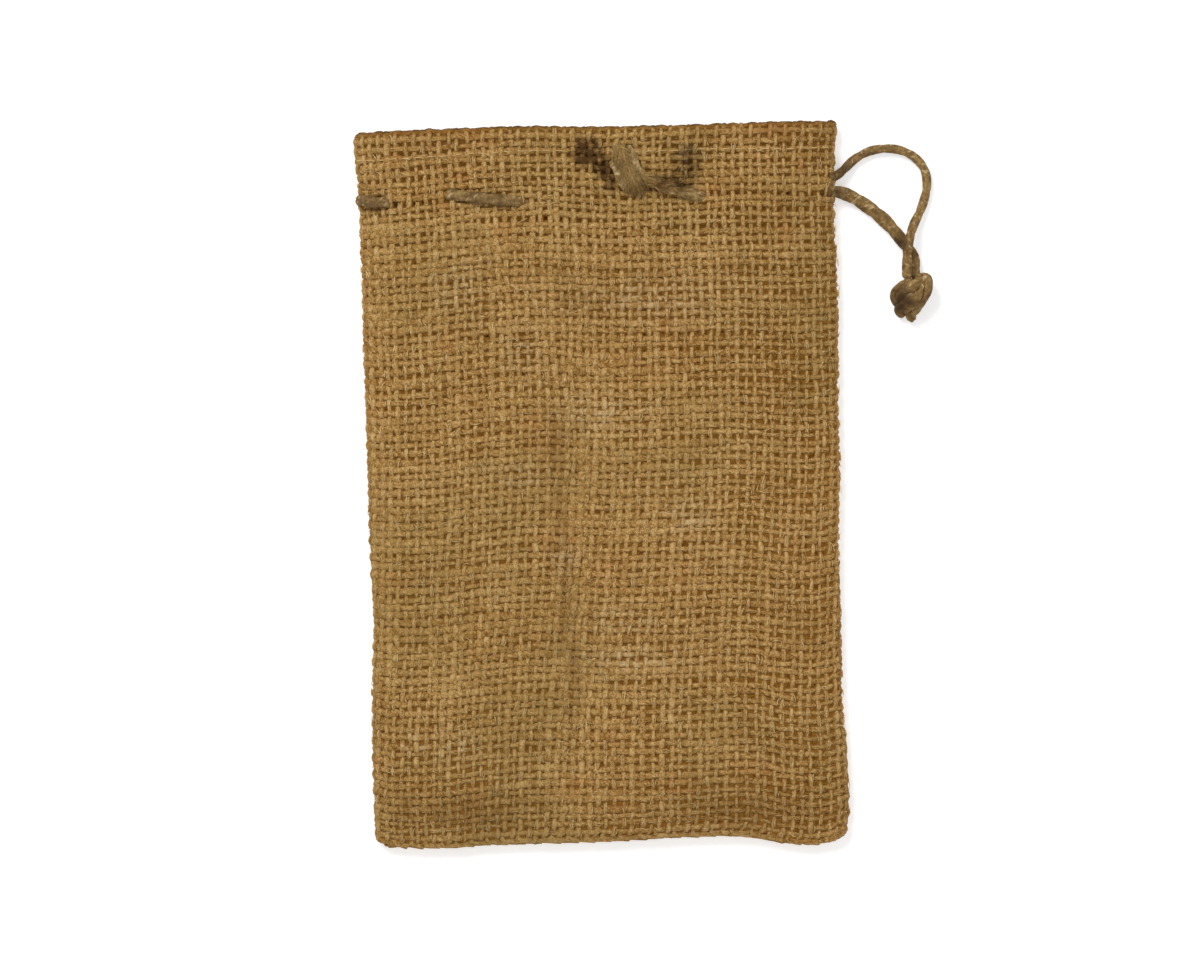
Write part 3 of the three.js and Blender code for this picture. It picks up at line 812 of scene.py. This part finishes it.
# The turns of the overhand knot, tied in both strands together. Each is one stretch of cord.
KNOT_TURNS = [
    # from the neck down behind the right-hand turns
    [(0.065, 0.044, 0.0036), (0.0652, 0.042, 0.0034), (0.0658, 0.04, 0.0024),
     (0.066, 0.0385, 0.0016)],
    [(0.0664, 0.044, 0.0018), (0.0664, 0.042, 0.0016), (0.0655, 0.04, 0.0014),
     (0.0645, 0.0385, 0.0013)],
    # the broad turn on the right, two strands side by side
    [(0.0664, 0.0428, 0.0016), (0.068, 0.0438, 0.0024), (0.0692, 0.0433, 0.0036),
     (0.0691, 0.0414, 0.0042), (0.0679, 0.0392, 0.004), (0.0666, 0.0372, 0.003),
     (0.0656, 0.0362, 0.0018)],
    [(0.0666, 0.0424, 0.0034), (0.0676, 0.0418, 0.0044), (0.0672, 0.0402, 0.0048),
     (0.066, 0.0386, 0.0044), (0.0648, 0.0374, 0.0034), (0.0642, 0.0366, 0.0024)],
    [(0.0664, 0.0408, 0.0042), (0.0652, 0.0396, 0.0046), (0.0644, 0.0384, 0.004),
     (0.0641, 0.0372, 0.0026)],
    # the turn on the left
    [(0.0654, 0.0424, 0.0026), (0.0641, 0.0421, 0.0034), (0.0629, 0.0411, 0.0034),
     (0.0625, 0.0398, 0.0028), (0.0631, 0.0386, 0.002), (0.0644, 0.038, 0.0016)],
    [(0.0683, 0.0436, 0.0034), (0.0668, 0.0425, 0.0048), (0.065, 0.0414, 0.005),
     (0.0637, 0.0401, 0.0044), (0.0634, 0.0386, 0.0032)],
    # the small turn below it
    [(0.0654, 0.038, 0.0034), (0.0643, 0.038, 0.0034), (0.0634, 0.0373, 0.0026),
     (0.0636, 0.0364, 0.0017), (0.0648, 0.0362, 0.0014)],
    # the cut end
    [(0.0652, 0.0378, 0.0024), (0.0656, 0.0364, 0.002), (0.0659, 0.0352, 0.0016),
     (0.066, 0.0345, 0.0013)],
]

# Where the cord comes out and turns back, it is frayed into one soft band, from top to bottom.
FRAYED_BAND = [(0.0036, 0.0716, 0.0112), (0.0044, 0.0692, 0.0124), (0.0054, 0.0667, 0.0128),
               (0.0066, 0.0642, 0.0128), (0.0074, 0.0624, 0.0122), (0.0081, 0.0612, 0.0108)]
FRAYED_BRANCH = [(0.008, 0.0655, 0.0124), (0.011, 0.0638, 0.0124), (0.0145, 0.0625, 0.0122),
                 (0.018, 0.0616, 0.0118), (0.0208, 0.0611, 0.011)]


def frayed_fibres(band, half_width, count, lift):
    """Fibres that lie along a band, arched across it."""
    curve = evenly(spline_through(band, 12), 60)
    tangent = unit(np.gradient(curve, axis=0))
    at = rng.integers(2, 58, count)
    flat = tangent[at].copy()
    across = unit(np.cross(tangent[at], (0, 0, 1)))
    place = rng.uniform(-1, 1, (count, 1))
    start = curve[at] + across * place * half_width
    start[:, 2] -= lift * place[:, 0] ** 2 + rng.uniform(0, 0.0003, count)
    up = np.tile((0.0, 0.0, 1.0), (count, 1))
    turn = rng.normal(0, 0.24, (count, 1))
    flat = flat * np.cos(turn) + across * np.sin(turn)
    length = rng.uniform(0.002, 0.005, (count, 1))
    return curved_fibres(start, up, flat, length, rng.normal(0, 0.35, (count, 1)),
                         rng.normal(-0.02, 0.03, (count, 1)), 5)


def make_frayed_cord():
    parts = [frayed_fibres(FRAYED_BAND, 0.0019, 480, 0.0013),
             frayed_fibres(FRAYED_BRANCH, 0.001, 170, 0.0007)]
    line = np.concatenate([part[0] for part in parts])
    share = parts[0][1]
    count = len(line)
    size = rng.uniform(0.00014, 0.00034, (count, 1)) * (1 - 0.5 * np.abs(2 * share - 1))
    tone = np.broadcast_to(rng.uniform(0, 1, (count, 1)), size.shape)
    up = np.tile((0.0, 0.0, 1.0), (count, 5, 1))
    return jute_tubes("frayed_cord", line, up, size, size, 4, tone, lit=0.3)


# --- Materials -------------------------------------------------------------------------------
class Tree:
    """Short ways to add and join shader nodes."""

    def __init__(self, name):
        self.material = bpy.data.materials.new(name)
        self.material.use_nodes = True
        self.nodes = self.material.node_tree.nodes
        self.links = self.material.node_tree.links
        self.shader = self.nodes["Principled BSDF"]

    def add(self, kind, inputs=(), **settings):
        node = self.nodes.new("ShaderNode" + kind)
        for key, value in settings.items():
            setattr(node, key, value)
        for key, value in dict(inputs).items():
            self.feed(node.inputs[key], value)
        return node

    def feed(self, socket, value):
        if isinstance(value, bpy.types.NodeSocket):
            self.links.new(value, socket)
        else:
            socket.default_value = value

    def math(self, operation, a, b=0.0, clamp=False):
        return self.add("Math", {0: a, 1: b}, operation=operation, use_clamp=clamp).outputs[0]

    def times(self, a, b, clamp=False):
        return self.math("MULTIPLY", a, b, clamp)

    def above(self, value, level, gain):
        """How far value is above level, times gain, from 0 to 1."""
        return self.times(self.math("SUBTRACT", value, level, True), gain, True)

    def below(self, value, level, gain):
        return self.times(self.math("SUBTRACT", level, value, True), gain, True)

    def total(self, *terms):
        """The sum of values, each given as (value, middle, weight) or as a plain value."""
        found = 0.0
        for term in terms:
            if isinstance(term, tuple):
                value, middle, weight = term
                term = self.times(self.math("SUBTRACT", value, middle), weight)
            found = self.math("ADD", term, found)
        return found

    def mix(self, factor, a, b):
        node = self.add("Mix", data_type="RGBA")
        self.feed(node.inputs["Factor"], factor)
        self.feed(node.inputs[6], a)
        self.feed(node.inputs[7], b)
        return node.outputs[2]

    def tint(self, colour, amount, share, tinted):
        """colour, with up to share of another colour where amount is 1."""
        return self.mix(self.times(amount, share), colour, tinted)

    def ramp(self, factor, stops):
        node = self.add("ValToRGB", {"Fac": factor})
        while len(node.color_ramp.elements) < len(stops):
            node.color_ramp.elements.new(0.5)
        for element, (position, colour) in zip(node.color_ramp.elements, stops):
            element.position = position
            element.color = colour
        return node.outputs["Color"]

    def noise(self, vector, scale, detail=2.0, roughness=0.5):
        return self.add("TexNoise", {"Vector": vector, "Scale": scale, "Detail": detail,
                                     "Roughness": roughness}).outputs["Fac"]

    def attribute(self, name):
        """The three parts of a vector attribute."""
        vector = self.add("Attribute", attribute_name=name).outputs["Vector"]
        split = self.add("SeparateXYZ", {"Vector": vector})
        return [split.outputs[k] for k in range(3)]

    def wound_fibres(self, around, slant, run, tone, scale, detail):
        """Streaks of fibre that wind round a yarn or cord along UV map Strand."""
        split = self.add("SeparateXYZ", {"Vector": self.add("UVMap", uv_map="Strand").outputs[0]})
        u, v = split.outputs["X"], split.outputs["Y"]
        wound = self.math("ADD", self.times(u, around), self.times(v, slant))
        place = self.add("CombineXYZ", {"X": wound, "Y": self.times(v, run),
                                        "Z": self.times(tone, 40.0)}).outputs[0]
        return self.noise(place, scale, detail, 0.65)

    def bump(self, height, strength, distance):
        node = self.add("Bump", {"Strength": strength, "Distance": distance, "Height": height})
        return node.outputs[0]

    def from_to(self, value, low, high):
        """Maps a value from 0 to 1 on to low to high."""
        return self.add("MapRange", {"Value": value, "To Min": low, "To Max": high}).outputs[0]

    def shade(self, **inputs):
        """Feeds the shader's inputs, named with _ for each space."""
        for key, value in inputs.items():
            self.feed(self.shader.inputs[key.replace("_", " ")], value)


def rgb(red, green, blue):
    """A colour given as 0 to 255 display values."""
    values = [v / 255 for v in (red, green, blue)]
    return (*[v / 12.92 if v <= 0.04045 else ((v + 0.055) / 1.055) ** 2.4 for v in values], 1)


BROWN_GLOW = (0.245, 0.118, 0.019, 1)


def jute_material(name, stops):
    """Twisted jute: streaks that wind round the yarn, patchy tan, stains and soft sheen, with
    painted highlights, painted shade and a painted glow.
    """
    tree = Tree(name)
    tone = tree.add("Attribute", attribute_name="tone").outputs["Fac"]
    stain_and_shade, facing, crown = tree.attribute("marks")
    warm_place, shaded_place, thin_place = tree.attribute("tints")
    place = tree.add("TexCoord").outputs["Object"]
    fibre = tree.wound_fibres(5.0, 6.0, 4.0, tone, 1.6, 3.0)
    clump = tree.noise(place, 800.0, 2.0)
    grit = tree.noise(place, 3000.0, 2.0)
    patch = tree.noise(place, 70.0, 2.0)
    region = tree.noise(place, 32.0, 1.0)
    hue = tree.noise(tree.add("VectorMath", {0: place, 1: (0.31, 0.17, 0.05)},
                              operation="ADD").outputs[0], 110.0, 3.0)

    # Painted light: the yarns' high crowns and outward-facing sides are lighter.
    value = tree.total(0.5, (fibre, 0.5, 2.0), (tone, 0.5, 0.42), (clump, 0.5, 0.6),
                       (grit, 0.5, 1.3), (patch, 0.5, 0.3), (crown, 0.0, 0.08),
                       (facing, 0.5, 0.1))
    colour = tree.ramp(value, stops)
    colour = tree.tint(colour, tree.above(region, 0.52, 5.0), 0.1, rgb(178, 118, 56))
    colour = tree.tint(colour, tree.below(region, 0.54, 5.0), 0.24, rgb(156, 132, 76))
    warm = tree.math("MAXIMUM", tree.above(hue, 0.6, 4.0), tree.times(warm_place, 0.9))
    colour = tree.tint(colour, warm, 0.35, rgb(176, 114, 60))
    colour = tree.tint(colour, tree.below(hue, 0.42, 4.0), 0.35, rgb(156, 134, 80))
    # Painted light: a pale tint at the thin places stands in for light seen through the gaps.
    painted_see_through = tree.times(thin_place, tree.above(clump, 0.46, 5.0))
    colour = tree.tint(colour, painted_see_through, 0.5, rgb(210, 190, 150))
    # Painted shade in the middle trough and along the folds.
    colour = tree.tint(colour, shaded_place, 0.34, rgb(102, 66, 27))
    # Painted shade: the sides and low parts of each yarn are darkened.
    colour = tree.tint(colour, tree.below(facing, 0.7, 0.9), 0.55, rgb(124, 79, 27))
    # Stains, and the painted shade on the mouth's fold, darken the colour.
    soaked_and_shaded = tree.total((stain_and_shade, 0.0, 1.5), (clump, 0.5, 3.0), (crown, 0.0, -0.16), -0.35)
    soaked_and_shaded = tree.times(tree.times(soaked_and_shaded, 1.0, True), tree.times(stain_and_shade, 1.3, True))
    colour = tree.tint(colour, soaked_and_shaded, 0.9, rgb(68, 42, 18))
    # Painted glow: the inner side of the cloth gets a brown emission, standing in for daylight that
    # has passed through it.
    glow = tree.times(tree.below(facing, 0.0, 1.3),
                      tree.math("SUBTRACT", 1.0, tree.times(stain_and_shade, 0.8)))
    height = tree.total(fibre, (clump, 0.5, 0.5), (grit, 0.5, 0.6))
    tree.shade(Base_Color=colour, Roughness=tree.from_to(fibre, 0.98, 0.7),
               Specular_IOR_Level=0.08, Emission_Color=tree.mix(glow, (0, 0, 0, 1), BROWN_GLOW),
               Emission_Strength=1.0, Normal=tree.bump(height, 0.9, 0.0002))
    return tree.material


JUTE = [(0.1, rgb(116, 77, 31)), (0.38, rgb(158, 120, 65)), (0.6, rgb(179, 141, 83)),
        (0.9, rgb(208, 173, 116))]
# PALE_JUTE is bright enough that the stray fibres also act as painted highlights.
PALE_JUTE = [(0.0, rgb(206, 168, 104)), (1.0, rgb(255, 226, 164))]
FRAYED = [(0.0, rgb(134, 104, 58)), (0.5, rgb(176, 143, 90)), (1.0, rgb(218, 187, 132))]


def cord_material():
    """Braided waxed cord: brown plaits with pale flecks, painted shade in the grooves, on the sides
    and underneath, and darker places partly of painted shade.
    """
    tree = Tree("WaxedCord")
    tone = tree.add("Attribute", attribute_name="tone").outputs["Fac"]
    groove_shade, shade_and_grime, rubbed = tree.attribute("marks")
    place = tree.add("TexCoord").outputs["Object"]
    fibre = tree.wound_fibres(7.0, 9.0, 8.0, tone, 1.6, 3.0)
    fleck = tree.wound_fibres(4.0, -6.0, 4.5, tone, 1.7, 1.0)
    patch = tree.noise(place, 330.0, 2.0)
    value = tree.total(0.5, (fibre, 0.5, 1.3), (patch, 0.5, 1.0))
    colour = tree.ramp(value, [(0.15, rgb(96, 68, 34)), (0.5, rgb(136, 107, 62)),
                               (0.85, rgb(166, 137, 88))])
    pale = tree.ramp(value, [(0.2, rgb(132, 104, 60)), (0.8, rgb(186, 160, 110))])
    colour = tree.tint(colour, rubbed, 0.55, pale)
    colour = tree.tint(colour, tree.above(fleck, 0.58, 8.0), 0.7, rgb(212, 188, 140))
    # Painted shade in the grooves and on the cord's sides and underside.
    colour = tree.tint(colour, tree.below(groove_shade, 0.3, 0.6), 0.7, rgb(70, 46, 22))
    # Painted shade in the knot, at crossings and where the cord enters the cloth, and darker cord
    # elsewhere.
    colour = tree.tint(colour, shade_and_grime, 0.92, rgb(54, 31, 13))
    tree.shade(Base_Color=colour, Roughness=tree.from_to(patch, 0.7, 0.9),
               Specular_IOR_Level=0.22, Normal=tree.bump(fibre, 0.6, 0.00012))
    return tree.material


# --- Floor and light -------------------------------------------------------------------------
FLOOR_REACH = 1.5
DAYLIGHT = 0.5
LAMPS = [                    # name, place, size, power
    ("SoftKey", (-0.42, 0.66, 0.85), 0.45, 7.6),
    ("SoftFill", (0.7, -0.4, 1.1), 1.0, 3.0),
]


def make_floor():
    mesh = bpy.data.meshes.new("Floor")
    corners = [(-1, -1), (1, -1), (1, 1), (-1, 1)]
    mesh.from_pydata([(FLOOR_REACH * x, FLOOR_REACH * y, 0) for x, y in corners], [],
                     [(0, 1, 2, 3)])
    floor = bpy.data.objects.new("Floor", mesh)
    bpy.context.collection.objects.link(floor)
    tree = Tree("PaleFloor")
    tree.shade(Base_Color=(0.8, 0.8, 0.8, 1), Roughness=0.9, Emission_Color=(1, 1, 1, 1),
               Emission_Strength=0.44)
    mesh.materials.append(tree.material)


def make_light():
    world = bpy.data.worlds.new("Studio")
    world.use_nodes = True
    sky = world.node_tree.nodes["Background"].inputs
    sky["Color"].default_value = (1, 1, 1, 1)
    sky["Strength"].default_value = DAYLIGHT
    bpy.context.scene.world = world
    for name, place, size, power in LAMPS:
        data = bpy.data.lights.new(name, "AREA")
        data.size = size
        data.energy = power
        lamp = bpy.data.objects.new(name, data)
        lamp.location = place
        lamp.rotation_euler = (-Vector(place)).to_track_quat("-Z", "Y").to_euler()
        bpy.context.collection.objects.link(lamp)
    bpy.context.scene.view_settings.view_transform = "Standard"


# --- Put together ----------------------------------------------------------------------------
make_camera()
cord_line = evenly(spline_through(CORD_ROUTE, 12, centripetal=True), 1400)
cord = braided_cord("drawstring_cord", [cord_line], CORD_WIDTHS, CORD_THICKNESSES)
knot = braided_cord("overhand_knot", [spline_through(turn, 12) for turn in KNOT_TURNS],
                    [0.0022, 0.0025, 0.0022], [0.002])
cloth, grid, normal, over = make_cloth(cord_line)
stitching = make_hem_stitching(grid, normal)
fibres = make_fibres(grid, normal, over)
frayed = make_frayed_cord()

jute = jute_material("JuteYarn", JUTE)
pale_jute = jute_material("PaleJute", PALE_JUTE)
frayed_fibre = jute_material("FrayedCord", FRAYED)
waxed = cord_material()
for material, pieces in ((jute, cloth.values()), (pale_jute, (stitching, fibres)),
                         (frayed_fibre, (frayed,)), (waxed, (cord, knot))):
    for piece in pieces:
        piece.data.materials.append(material)
for slot, pieces in (("burlap", (*cloth.values(), stitching, fibres)),
                     ("cord", (cord, knot, frayed))):
    for piece in pieces:
        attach(piece, "root")
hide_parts("burlap_sack_cloth")
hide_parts("drawstring")
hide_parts("drawstring_knot")

make_floor()
make_light()
